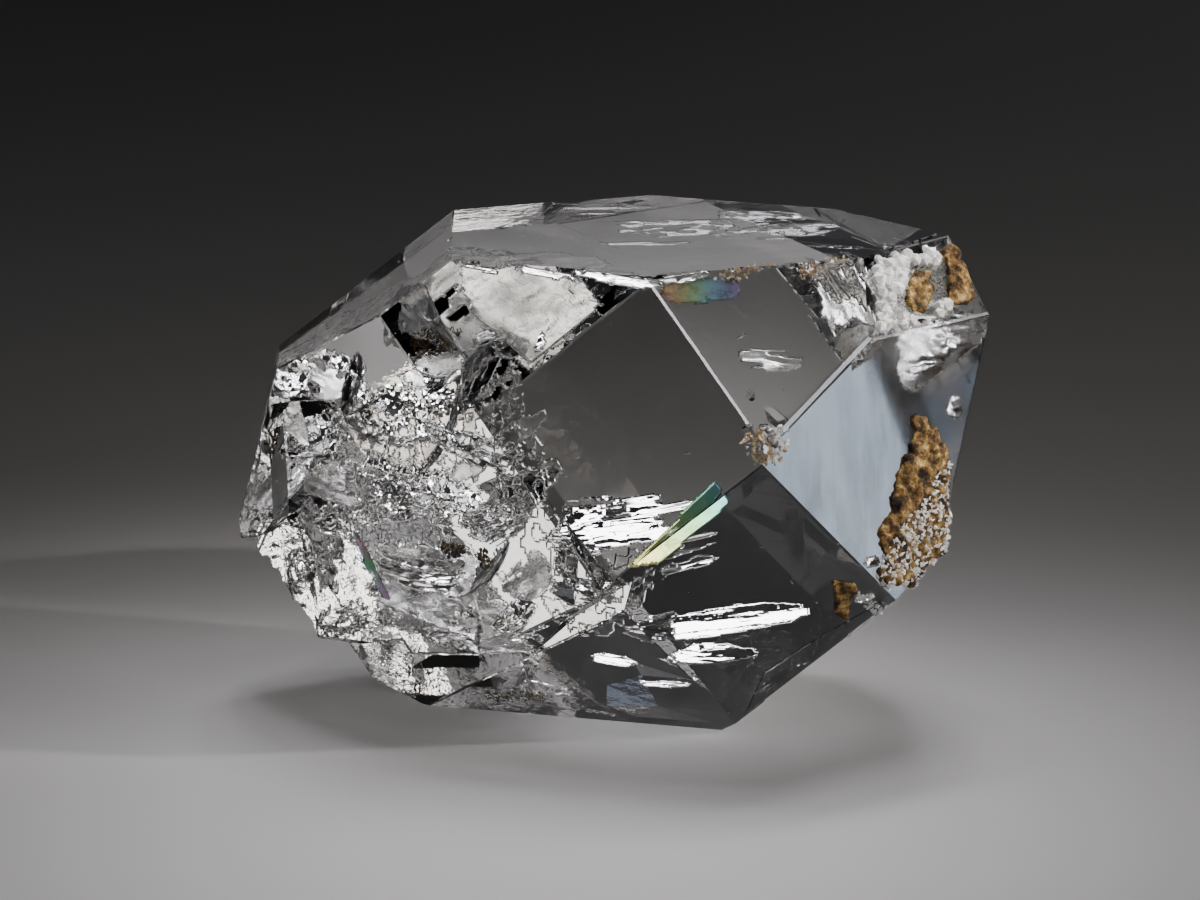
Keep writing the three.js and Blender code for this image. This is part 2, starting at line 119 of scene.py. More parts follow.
def make_camera():
    elevation = math.radians(VIEW_ELEVATION)
    back = Vector((0, -math.cos(elevation), math.sin(elevation)))
    camera = bpy.data.cameras.new("camera")
    camera.sensor_width = SENSOR_WIDTH
    camera.lens = SENSOR_WIDTH * VIEW_DISTANCE / VIEW_WIDTH
    camera.clip_start, camera.clip_end = VIEW_CLIP
    holder = bpy.data.objects.new("camera", camera)
    turn = Matrix.Rotation(math.pi / 2 - elevation, 4, "X") @ Matrix.Rotation(math.radians(VIEW_ROLL), 4, "Z")
    holder.matrix_world = Matrix.Translation((CENTRE + back * VIEW_DISTANCE) * MM) @ turn
    bpy.context.scene.collection.objects.link(holder)
    bpy.context.scene.camera = holder


def make_floor():
    floor_paint = new_material("pale_matt_board")
    tree = floor_paint.node_tree
    shade(floor_paint, add_node(tree, "ShaderNodeBsdfPrincipled", inputs={
        "Base Color": linear(FLOOR_COLOUR), "Roughness": FLOOR_ROUGHNESS,
    }))
    mesh = bpy.data.meshes.new("floor")
    corners = [(x * FLOOR_HALF, y * FLOOR_HALF, 0) for x, y in ((-1, -1), (1, -1), (1, 1), (-1, 1))]
    mesh.from_pydata(corners, [], [(0, 1, 2, 3)])
    add_object("floor", mesh, [floor_paint])


# Soft panels around the crystal. Azimuth runs clockwise from straight behind it, seen from above.
# name: azimuth, elevation, distance, (width, height), (aimed at), spread, colour, radiance
PANELS = {
    "floor_fill": (180, 42, 300, (240, 50), (0, -84, 0), 26, "#fbfaff", 34),
    "crust_light": (97, 22, 240, (14, 14), (10, -3, 12), 5, "#fffaf4", 2200),
    "bevel_card": (105, 26, 240, (36, 36), (8, -4, 12), 12, "#eef4ff", 17),
    "edge_card": (-173, 56, 240, (20, 20), (3, -6, 14), 9, "#f4f6ff", 30),
    "back_card": (0, 15, 260, (130, 46), (0, 0, 14), 60, "#f4f6ff", 0.09),
    "front_left_card": (-156, 49, 240, (80, 56), (0, 0, 10), 32, "#fff4e8", 2.6),
    "front_blue_card": (-150, 28, 240, (40, 30), (8, 0, 12), 20, "#c4d6f0", 0.3),
    "upper_back_card": (143, 53, 240, (50, 50), (-4, 0, 12), 20, "#f0f2f8", 0.6),
    "left_high_card": (-121, 50, 240, (50, 50), (-6, 0, 10), 20, "#fff6ea", 2.2),
    "left_top_card": (-119, 64, 240, (44, 44), (-6, 0, 10), 20, "#fff8f0", 1.7),
    "left_side_card": (-124, 22, 240, (44, 50), (-6, 0, 8), 20, "#f6f8ff", 1.6),
    "hill_card": (4, 35, 240, (24, 14), (2, -6, 2), 16, "#cfe0ff", 0.22),
    "film_card": (145, 21, 234, (36, 34), (2, -9.5, 8), 18, "#ffffff", 2.6),
    "front_right_card": (140, 18, 240, (80, 58), (-2, 0, 9), 40, "#faf6f0", 5.0),
    "druse_card": (128, 36, 240, (16, 16), (10.5, -2.5, 15), 4, "#fffaf4", 1300),
    "window_card": (74, 48, 240, (84, 76), (-2, 0, 12), 28, "#fbf5ec", 2.6),
    "left_low_card": (-51, 5.5, 200, (80, 30), (4, 0, 10), 60, "#cfe0f2", 1.1),
    "right_low_card": (21, 6, 220, (80, 56), (-4, 0, 8), 40, "#f6f3ee", 2.8),
    "right_side_card": (85, 10, 220, (90, 50), (0, 0, 8), 40, "#f8f2ea", 6.5),
}

# The softboxes overhead that make the cracks flash: azimuth, elevation, and how far across the floor
# each one is aimed.
KEY_SPOTS = [(4, 66, -6), (-18, 62, -6), (26, 60, 8), (-4, 78, -6), (14, 50, 6), (4, 56, 0)]
KEY_DISTANCE, KEY_SIZE, KEY_AIM_Y, KEY_SPREAD = 240, (36, 36), -20, 12
KEY_COLOUR, KEY_RADIANCE = "#fcfaff", 66

# Dim cards around the softboxes, which fill the cracks' dark sides.
FILL_SPOTS = [(-46, 62), (-40, 46), (-29, 40), (32, 42), (50, 50), (64, 64), (-76, 68), (-62, 48), (90, 74),
              (-30, 84)]
FILL_SIZE, FILL_AIM, FILL_SPREAD = (46, 46), (-2, 0, 9), 14
FILL_COLOUR, FILL_RADIANCE = "#fbf6ee", 2.8
WORLD_COLOUR, WORLD_GLOW = "#e8ecf4", 0.02


def fan_share(spread):
    """A panel's power against that of an open one as bright along its axis, by its spread in radians."""
    half = spread / 2
    return math.sin(half) ** 2 - (half - math.sin(half) * math.cos(half)) / math.tan(half)


def toward(azimuth, elevation):
    turn, rise = math.radians(azimuth), math.radians(elevation)
    return Vector((math.sin(turn) * math.cos(rise), math.cos(turn) * math.cos(rise), math.sin(rise)))


def add_panel(name, azimuth, elevation, distance, size, target, spread, colour, radiance):
    lamp = bpy.data.lights.new(name, "AREA")
    lamp.shape = "RECTANGLE"
    lamp.size = size[0] * MM
    lamp.size_y = size[1] * MM
    lamp.spread = math.radians(spread)
    lamp.energy = radiance * math.pi * lamp.size * lamp.size_y * fan_share(lamp.spread)
    lamp.color = linear(colour)[:3]
    holder = bpy.data.objects.new(name, lamp)
    place = CENTRE + toward(azimuth, elevation) * distance
    turn = (Vector(target) - place).to_track_quat("-Z", "Y").to_matrix().to_4x4()
    holder.matrix_world = Matrix.Translation(place * MM) @ turn
    bpy.context.scene.collection.objects.link(holder)


def make_lights():
    for name, panel in PANELS.items():
        add_panel(name, *panel)
    for number, (azimuth, elevation, aim_x) in enumerate(KEY_SPOTS):
        add_panel(f"key_softbox_{number}", azimuth, elevation, KEY_DISTANCE, KEY_SIZE, (aim_x, KEY_AIM_Y, 0),
                  KEY_SPREAD, KEY_COLOUR, KEY_RADIANCE)
    for number, (azimuth, elevation) in enumerate(FILL_SPOTS):
        add_panel(f"fill_card_{number}", azimuth, elevation, KEY_DISTANCE, FILL_SIZE, FILL_AIM, FILL_SPREAD,
                  FILL_COLOUR, FILL_RADIANCE)
    world = bpy.data.worlds.new("studio")
    world.use_nodes = True
    glow = world.node_tree.nodes["Background"].inputs
    glow["Color"].default_value = linear(WORLD_COLOUR)
    glow["Strength"].default_value = WORLD_GLOW
    bpy.context.scene.world = world


# ---- Materials ------------------------------------------------------------------------------

QUARTZ_INDEX = 1.544

# The worn lower left of the crystal's faces: the direction away from it, and where along that direction
# the wear starts to fade and is gone, in mm.
WORN_SIDE, WORN_FULL, WORN_GONE = (0.76, 0.0, 0.65), 2.8, 4.2


def object_point(tree):
    return add_node(tree, "ShaderNodeTexCoord").outputs["Object"]


def drawn_out(tree, point, upright):
    """The place with its height scaled, so that a pattern on it is drawn out upright, or level above 1."""
    return add_node(tree, "ShaderNodeMapping", inputs={
        "Vector": point, "Scale": (1.0, 1.0, upright),
    }).outputs["Vector"]


def noise_field(tree, point, size, detail=3.0, roughness=0.6):
    """Noise from 0 to 1 whose blotches are about `size` mm across."""
    return add_node(tree, "ShaderNodeTexNoise", inputs={
        "Vector": point, "Scale": 0.5 / (size * MM), "Detail": detail, "Roughness": roughness,
    }).outputs["Fac"]


def distance_along(tree, point, direction):
    """How far along a direction a place lies, in metres."""
    return add_node(tree, "ShaderNodeVectorMath", {"operation": "DOT_PRODUCT"}, {
        0: point, 1: direction,
    }).outputs["Value"]


def ranged(tree, value, start, end, low, high):
    """A value from `start` to `end` as one from `low` to `high`, and no further."""
    return add_node(tree, "ShaderNodeMapRange", inputs={
        "Value": value, "From Min": start, "From Max": end, "To Min": low, "To Max": high,
    }).outputs["Result"]


def arithmetic(tree, operation, *values):
    made = add_node(tree, "ShaderNodeMath", {"operation": operation}, dict(enumerate(values)))
    return made.outputs["Value"]


def relief(tree, height, depth, under=None):
    """A bump of `depth` mm between the lowest and the highest of a height field, over another bump."""
    inputs = {"Height": height, "Strength": 1.0, "Distance": depth * MM}
    if under is not None:
        inputs["Normal"] = under
    return add_node(tree, "ShaderNodeBump", inputs=inputs).outputs["Normal"]


def colour_ramp(tree, factor, stops):
    """Colours by place from 0 to 1."""
    ramp = add_node(tree, "ShaderNodeValToRGB", inputs={"Fac": factor})
    marks = ramp.color_ramp.elements
    while len(marks) < len(stops):
        marks.new(0.5)
    for mark, (place, colour) in zip(marks, stops):
        mark.position = place
        mark.color = linear(colour)
    return ramp.outputs["Color"]


def glassy(tree, roughness, normal):
    """Light passes as through quartz, whichever side it comes from."""
    return add_node(tree, "ShaderNodeBsdfPrincipled", inputs={
        "Base Color": linear("#ffffff"), "Roughness": roughness, "IOR": QUARTZ_INDEX,
        "Transmission Weight": 1.0, "Normal": normal,
    })


def clear_quartz():
    """Rock crystal: colourless and smooth as glass, but not quite flat, so that what is seen through it
    wavers. At the lower left, fine level growth lines break up the light."""
    material = new_material("clear_quartz")
    tree = material.node_tree
    point = object_point(tree)
    waver = relief(tree, noise_field(tree, point, 1.6, 1.0), 0.004)
    worn = ranged(tree, distance_along(tree, point, WORN_SIDE), WORN_FULL * MM, WORN_GONE * MM, 1.0, 0.0)
    lines = arithmetic(tree, "MULTIPLY", noise_field(tree, drawn_out(tree, point, 2.4), 0.5), worn)
    shade(material, glassy(tree, 0.0, relief(tree, lines, 0.014, waver)))
    return material


def crack_in_quartz():
    """The walls of an open crack: air against quartz, finely rippled, so it glitters like tinsel."""
    material = new_material("crack_in_quartz")
    tree = material.node_tree
    ripples = relief(tree, noise_field(tree, object_point(tree), 0.3), 0.004)
    shade(material, glassy(tree, 0.0, ripples))
    return material


def healed_crack():
    """A crack grown shut around countless specks: a milky haze with soft, blurred lights behind it."""
    material = new_material("healed_crack")
    tree = material.node_tree
    point = object_point(tree)
    patches = ranged(tree, noise_field(tree, point, 0.9), 0.35, 0.65, 0.02, 0.3)
    shade(material, glassy(tree, patches, relief(tree, noise_field(tree, point, 0.3), 0.02)))
    return material


def etched_quartz():
    """The side face that growth has left faintly matt: a satin sheen with upright, cloudy streaks."""
    material = new_material("etched_quartz")
    tree = material.node_tree
    point = object_point(tree)
    satin = ranged(tree, noise_field(tree, drawn_out(tree, point, 0.25), 0.5, 4.0), 0.3, 0.7, 0.08, 0.26)
    shade(material, glassy(tree, satin, relief(tree, noise_field(tree, point, 0.25), 0.004)))
    return material


def sugary_quartz():
    """Drusy quartz grains: milky white, sparkling where a facet catches the light."""
    material = new_material("sugary_quartz")
    tree = material.node_tree
    shade(material, add_node(tree, "ShaderNodeBsdfPrincipled", inputs={
        "Base Color": linear("#fdfcfa"), "Roughness": 0.25, "IOR": QUARTZ_INDEX, "Transmission Weight": 0.1,
    }))
    return material


def limonite():
    """Earthy iron crust, dull as dry clay: random blotches of brown, rust and ochre. Its near-black and
    pale beige ends are painted shade and painted highlight, laid at random, not by its hollows and knobs.
    """
    material = new_material("limonite")
    tree = material.node_tree
    point = object_point(tree)
    # Painted shade and painted highlight: the near-black first stop and the pale beige last stop stand in for
    # shaded crevices and lit knobs.
    colour = colour_ramp(tree, noise_field(tree, point, 0.24, 6.0, 0.7), [
        (0.38, "#150d05"), (0.45, "#3d280f"), (0.51, "#6a4f24"), (0.57, "#8f7039"), (0.68, "#d6c294"),
    ])
    knobs = relief(tree, noise_field(tree, point, 0.14, 4.0), 0.12)
    shade(material, add_node(tree, "ShaderNodeBsdfPrincipled", inputs={
        "Base Color": colour, "Roughness": 0.85, "Normal": knobs,
    }))
    return material


def beige_sand():
    """Crumbs of sandy dolomite caught on the crystal: pale beige and matt."""
    material = new_material("beige_sand")
    tree = material.node_tree
    colour = colour_ramp(tree, noise_field(tree, object_point(tree), 0.3), [
        (0.35, "#a98a66"), (0.5, "#d6bf9c"), (0.65, "#efe4d0"),
    ])
    shade(material, add_node(tree, "ShaderNodeBsdfPrincipled", inputs={
        "Base Color": colour, "Roughness": 0.8,
    }))
    return material


def film_of_air(name, direction, start, end, stops, roughness):
    """A film of air thinner than light's own wave: metallic bands of colour laid along a direction, in mm."""
    material = new_material(name)
    tree = material.node_tree
    point = object_point(tree)
    band = ranged(tree, distance_along(tree, point, direction), start * MM, end * MM, 0.05, 0.95)
    sway = arithmetic(tree, "MULTIPLY_ADD", noise_field(tree, point, 0.5, 4.0), 0.3, -0.15)
    metal = add_node(tree, "ShaderNodeBsdfPrincipled", inputs={
        "Base Color": colour_ramp(tree, arithmetic(tree, "ADD", band, sway), stops), "Metallic": 1.0,
        "Roughness": roughness, "Normal": relief(tree, noise_field(tree, point, 0.2), 0.006),
    })
    clear = add_node(tree, "ShaderNodeBsdfTransparent")
    thickness = ranged(tree, noise_field(tree, point, 0.25, 4.0), 0.35, 0.55, 0.4, 1.0)
    shade(material, add_node(tree, "ShaderNodeMixShader", inputs={
        0: thickness, 1: clear.outputs[0], 2: metal.outputs[0],
    }))
    return material


# ---- Fracture veils ---------------------------------------------------------------------------

VEIL_GAP = 0.012             # how far an open crack stands apart
VEIL_MARGIN = 0.12           # quartz left between a crack and the crystal's skin
RIM_MARGIN = 0.04            # the same where the crystal is chipped
VEIL_CELL = 0.097            # side of a sheet's small faces
RAG_LENGTH = 0.8             # of the ragged bites out of a crack's rim
HOLE_LENGTH = 0.4            # of the gaps in it
SEED_SHIFT = (17.3, 5.1)     # between the noise of one sheet and of the next
BOW_LEVEL = 0.4              # how far out, squared, a bowed sheet crosses its own plane
PAST_RIM = 2.0               # how far out a gap in a sheet counts as being
# Noise laid over itself ever finer: how fast the finer waves fade, how much finer each is, and how many.
WAVE_KIND, RAG_KIND, LUMP_KIND = (0.7, 2.2, 3), (0.8, 2.1, 3), (0.8, 2.1, 2)
UP = Vector((0, 0, 1))
SKIN_CROSSINGS = 8           # the most walls a straight line meets
SKIN_STEP = 0.001            # how far past a wall the line goes on


class Veil(NamedTuple):
    """One rippled sheet inside the crystal, in mm from the crystal's centre and in degrees."""
    centre: tuple
    normal: tuple
    heading: float               # of its long side, from level
    size: tuple                  # length and width
    bow: float = 0.1
    ripple: float = 0.025        # height
    ripple_length: float = 0.7
    stretch: float = 1.0         # how drawn out its ripples are along its length
    cover: float = 0.45          # under 0 mostly gaps, over 1 whole
    square: bool = False
    flat: bool = False           # broken into small flat mirrors
    ragged: float = 0.5
    corners: tuple = ()          # its outline as (along, across) points, if not an oval or a rectangle


# Even, unbroken walls that hardly ripple.
SMOOTH_WALLS = {"bow": 0.0, "ripple": 0.002, "ripple_length": 1.2, "cover": 1.0}
# Deeply rippled and mostly gaps.
CRUMPLED = {"bow": 0.1, "cover": 0.15, "ragged": 0.3}


# Cracks tilted so that they mirror the softboxes behind and above the crystal.
BRIGHT_CRACKS = [
    Veil((-3.08, -3.72, 4.75), (-0.07, -0.47, 0.88), 30, (2.6, 2.0), 0.02, 0.03, 0.4, 5.0, 0.05),
    Veil((-5.6, -0.2, 2.3), (-0.41, -0.48, 0.77), 16, (3.6, 1.8), 0.06, 0.03, 0.45, cover=0.2, flat=True),
    Veil((-6.6, 1.0, 0.9), (-0.36, -0.5, 0.79), 8, (5.8, 2.4), 0.14, 0.035, cover=0.15),
    Veil((-7.2, 0.2, 1.9), (-0.46, -0.44, 0.77), -10, (3.2, 1.4), 0.08, 0.03, 0.6, cover=0.2),
    Veil((-4.0, -2.9, 0.9), (-0.3, -0.5, 0.81), -14, (4.4, 1.8), 0.08, 0.022, 0.6, 1.5, 0.15),
    Veil((-4.6, -2.4, 2.3), (-0.38, -0.49, 0.78), 24, (2.4, 1.0), 0.06, 0.02, 0.5, cover=0.2, flat=True),
    Veil((-5.4, 0.6, -1.0), (-0.34, -0.45, 0.83), -6, (6.4, 2.4), -0.12, 0.035, 0.7, cover=0.12),
    Veil((-4.6, -1.9, -1.7), (-0.4, -0.42, 0.81), 12, (4.0, 1.5), 0.06, 0.026, 0.5, cover=0.15),
    Veil((-6.8, 0.0, -1.6), (-0.5, -0.35, 0.79), -24, (3.0, 1.3), 0.06, 0.028, 0.5, cover=0.2, flat=True),
    Veil((-2.8, -4.9, -0.3), (-0.23, -0.51, 0.83), 38, (3.8, 2.2), 0.04, 0.012, 0.8, 2.5, 0.9),
    Veil((-3.6, -4.0, -1.5), (-0.3, -0.48, 0.82), 34, (3.2, 1.5), 0.05, 0.016, 0.6, 2.0, 0.4),
    Veil((-8.3, 2.1, -2.8), (-0.45, -0.42, 0.77), 24, (3.8, 2.0), 0.12, 0.035, 0.7, cover=0.2),
    Veil((-5.7, 0.0, -4.1), (-0.4, -0.38, 0.83), -4, (4.6, 2.6), 0.3, 0.01, 1.6, 1.0, 0.9),
    Veil((-5.9, -0.7, -5.8), (-0.42, -0.4, 0.8), 4, (5.2, 1.9), 0.06, 0.025, 0.45, cover=0.2, flat=True),
    Veil((-6.8, 0.4, -5.0), (-0.5, -0.36, 0.78), 20, (3.0, 1.4), 0.08, 0.028, 0.6, cover=0.2),
    Veil((-4.6, -1.9, -6.5), (-0.38, -0.44, 0.8), -8, (3.4, 1.0), 0.04, 0.02, 0.5, 2.0, 0.3),
    Veil((-2.8, -4.4, -5.0), (-0.38, -0.4, 0.82), 70, (3.0, 1.5), 0.04, 0.014, 0.5, 1.8, 0.8),
    Veil((-10.4, 3.5, -5.0), (-0.73, -0.22, 0.64), 10, (2.4, 1.5), 0.08, 0.025, 0.5, cover=0.3),
    Veil((-10.0, 2.7, 0.0), (-0.5, -0.46, 0.72), 50, (2.6, 1.6), 0.08, 0.03, 0.6, cover=0.2),
    Veil((-8.5, 0.2, 3.2), (-0.4, -0.49, 0.77), -16, (2.2, 1.0), 0.06, 0.022, 0.5, cover=0.2),
    Veil((-11.2, 4.6, -2.6), (-0.6, -0.35, 0.7), 40, (2.2, 1.4), 0.06, 0.03, 0.5, cover=0.3),
    Veil((1.0, -5.8, -1.4), (-0.07, -0.47, 0.88), 14, (5.4, 2.4), 0.05, 0.02, 0.45, 6.0, 0.2),
    Veil((0.0, -6.5, -0.6), (-0.07, -0.47, 0.88), 4, (2.2, 1.2), 0.05, 0.025, 0.4, 2.0, 0.2, flat=True),
    Veil((2.8, -6.1, -2.1), (0.11, -0.6, 0.8), 20, (2.2, 0.9), 0.05, 0.012, 0.4, 5.0, 0.3),
    Veil((4.0, -5.5, -4.5), (0.11, -0.6, 0.8), 3, (6.4, 2.2), 0.03, 0.006, 0.5, 7.0, 0.9),
    Veil((3.7, -5.3, -5.8), (0.11, -0.6, 0.8), -8, (3.4, 1.5), 0.03, 0.014, 0.4, 3.0, 0.6),
    Veil((1.7, -6.3, -4.2), (0.0, -0.56, 0.83), 10, (1.6, 0.8), 0.03, 0.016, 0.4, 2.0, 0.4, flat=True),
    Veil((-0.4, -6.7, -3.4), (-0.07, -0.47, 0.88), 4, (2.8, 1.4), 0.02, 0.008, 0.35, 6.0, 0.7),
    Veil((0.5, -4.9, -6.0), (-0.1, -0.67, 0.74), -10, (1.8, 1.4), 0.02, 0.006, 0.35, 6.0, 0.7),
    Veil((2.3, -4.8, -6.9), (-0.11, -0.67, 0.74), 6, (1.8, 0.7), 0.03, 0.016, 0.35, 4.0, 0.3),
    Veil((1.6, 0.22, 7.15), (0.0, -0.21, 0.98), 3, (3.2, 0.7), 0.01, 0.008, 0.3, 6.0, 0.5),
    Veil((6.2, 0.9, 7.15), (0.0, -0.21, 0.98), 0, (1.4, 0.4), 0.02, 0.01, 0.3, 4.0, 0.6),
    Veil((8.2, -0.4, 7.15), (0.0, -0.24, 0.97), -10, (2.0, 0.5), 0.02, 0.02, 0.3, 3.0, 0.4),
    Veil((0.4, 5.9, 7.15), (0.0, -0.22, 0.98), 0, (3.4, 0.7), 0.03, 0.012, 0.4, 4.0, 0.4),
    Veil((3.4, 3.1, 7.1), (0.0, -0.21, 0.98), 10, (5.6, 3.4), 0.05, 0.02, 1.2, 2.0, 0.15),
    Veil((5.6, 4.6, 7.1), (0.0, -0.22, 0.98), -12, (3.4, 1.8), 0.03, 0.016, 0.9, 2.0, 0.4),
    Veil((7.0, 2.6, 7.1), (0.0, -0.22, 0.98), 16, (3.0, 2.2), 0.03, 0.016, 0.9, 2.0, 0.4),
    Veil((4.89, -5.5, 5.25), (0.12, -0.6, 0.79), 40, (0.5, 0.22), 0.01, 0.004, 0.4, 1.0, 1.0),
    Veil((9.32, -5.04, -2.87), (0.4, -0.51, 0.77), 0, (0.8, 0.7), 0.01, 0.003, 0.5, 1.0, 1.0, ragged=0.1),
    Veil((-10.12, 4.24, -4.82), (-0.73, -0.46, 0.5), 20, (3.6, 2.2), 0.1, 0.03, 0.6, cover=0.25),
    Veil((-8.86, 2.46, -6.62), (-0.4, -0.51, 0.77), 20, (2.8, 1.8), 0.08, 0.03, 0.5, cover=0.25, flat=True),
    Veil((-8.9, 5.24, 3.9), (-0.34, 0.02, 0.94), 0, (3.6, 1.2), 0.05, 0.02, 0.5, 3.0, 0.3),
    Veil((-9.38, 4.24, -0.35), (-0.4, -0.51, 0.77), 10, (3.0, 1.8), 0.08, 0.03, 0.6, cover=0.2),
    Veil((-0.7, -7.61, -3.12), (-0.15, -0.48, 0.86), 0, (2.1, 1.8), 0.0, 0.008, 0.35, 5.0, 0.7, ragged=0.2,
         corners=((-0.77, -0.81), (0.68, -0.72), (0.68, 0.85), (-0.54, 0.75), (-0.99, 0.07))),
    Veil((0.1, -8.51, -2.95), (-0.13, -0.45, 0.88), 0, (1.1, 1.6), 0.0, 0.008, 0.35, 5.0, 0.8, ragged=0.2,
         corners=((-0.33, -0.77), (0.09, -0.73), (0.31, 0.51), (-0.51, 0.63))),
    Veil((-2.0, -2.1, -7.7), (-0.45, -0.78, 0.44), -14, (2.4, 1.0), 0.04, 0.02, 0.5, cover=0.3),
    Veil((9.1, -4.6, -4.15), (0.09, -0.6, 0.8), 20, (0.9, 0.6), 0.02, 0.02, 0.3, 1.0, 0.6),
    Veil((12.2, -1.1, 1.7), (0.64, -0.24, 0.73), 30, (1.6, 0.8), 0.03, 0.02, 0.4, 2.0, 0.3),
]

# Short cracks under the chipped edge between the flat top and the front faces.
EDGE_CRACKS = [
    Veil((-4.2, -2.9, 7.12), (-0.07, -0.47, 0.88), -12, (1.5, 0.5), 0.02, 0.015, 0.4, 1.5, 0.8),
    Veil((-1.7, -3.65, 7.12), (-0.07, -0.47, 0.88), -12, (2.6, 0.45), 0.02, 0.015, 0.4, 1.5, 0.4),
    Veil((0.6, -4.45, 7.1), (-0.07, -0.47, 0.88), -12, (3.4, 0.6), 0.02, 0.015, 0.4, 1.5, 0.9),
    Veil((2.9, -4.35, 7.1), (0.05, -0.47, 0.88), 12, (2.0, 0.5), 0.02, 0.015, 0.4, 1.5, 0.5),
]

# Small cracks strung along the shattered rim at the crystal's lower left: the path, the crack, and how many
# to each stretch of it.
RIM_PATH = [(-12.0, 4.0, -4.0), (-11.4, 3.5, -5.4), (-10.3, 2.6, -7.0), (-8.8, 1.0, -8.0), (-7.2, 0.6, -8.5)]
RIM_CRACK = Veil((0, 0, 0), (-0.6, -0.35, 0.72), 0, (1.1, 0.6), 0.03, 0.03, 0.35, flat=True)
RIM_COUNT = 4

# Steep cracks that the light slips past: curved grey edges and dark slivers.
STEEP_CRACKS = [
    Veil((-8.28, -0.22, 2.51), (-0.95, -0.33, 0.05), 60, (2.8, 1.1), 0.05, 0.002, 1.2,
         cover=1.0, ragged=0.05),
    Veil((-10.05, 2.66, -2.54), (-0.08, 0.74, 0.67), 53, (5.8, 1.6), **SMOOTH_WALLS, ragged=0.05,
         corners=((-2.84, 0.16), (-2.47, -0.02), (0.9, -0.39), (2.65, -0.29), (2.15, 0.58), (0.7, 0.76),
                  (-1.0, 0.57))),
    Veil((-5.35, -0.26, -7.44), (0.0, -0.6, -0.8), 11, (3.7, 1.4), **SMOOTH_WALLS, ragged=0.02,
         corners=((-1.34, -0.63), (1.78, -0.53), (1.72, 0.48), (-1.74, 0.45))),
    Veil((-1.3, -6.96, -2.6), (0.12, -0.57, 0.81), -120, (6.3, 1.8), **SMOOTH_WALLS, ragged=0.02,
         corners=((2.33, -0.8), (0.6, 0.86), (-1.22, 0.75), (-3.11, 0.02))),
    Veil((-0.37, -7.99, -2.23), (0.45, -0.5, 0.74), -80, (4.0, 2.2), **SMOOTH_WALLS, ragged=0.02,
         corners=((-0.81, -0.17), (0.62, -1.03), (0.85, 0.76), (-1.93, 0.76))),
    Veil((-4.1, -3.76, 4.48), (-0.17, 0.79, 0.59), 69, (6.8, 2.1), **SMOOTH_WALLS, ragged=0.02,
         corners=((-3.36, 0.4), (-3.22, -0.09), (0.23, -1.01), (2.96, 0.35), (1.8, 0.78))),
    Veil((-2.24, -5.44, -0.34), (-0.45, -0.86, 0.25), 0, (3.6, 5.9), ripple=0.06, **CRUMPLED,
         corners=((-1.03, -2.89), (1.49, -2.85), (1.77, -1.9), (-0.3, 2.49), (-1.68, 2.28))),
    Veil((-0.35, -6.19, -4.48), (-0.45, -0.86, 0.25), 0, (5.1, 5.0), ripple=0.05, **CRUMPLED,
         corners=((-0.24, -1.67), (2.51, 2.03), (1.6, 2.43), (-1.5, 0.48))),
    Veil((-7.96, 0.93, -2.62), (-0.61, -0.76, 0.2), 0, (8.3, 2.6), 0.1, 0.05, 0.6, 1.0, 0.1, ragged=0.3,
         corners=((-0.71, -1.04), (3.66, -0.1), (4.11, 1.26), (-0.99, 0.38))),
    Veil((-4.4, -0.6, 1.4), (-0.86, -0.35, 0.36), 70, (4.6, 1.8), 0.5, 0.015, 1.2, 1.0, 0.9),
    Veil((-3.2, -2.6, -3.6), (-0.8, 0.1, 0.6), 50, (4.0, 1.4), 0.4, 0.015, 1.2, 1.0, 0.9),
]

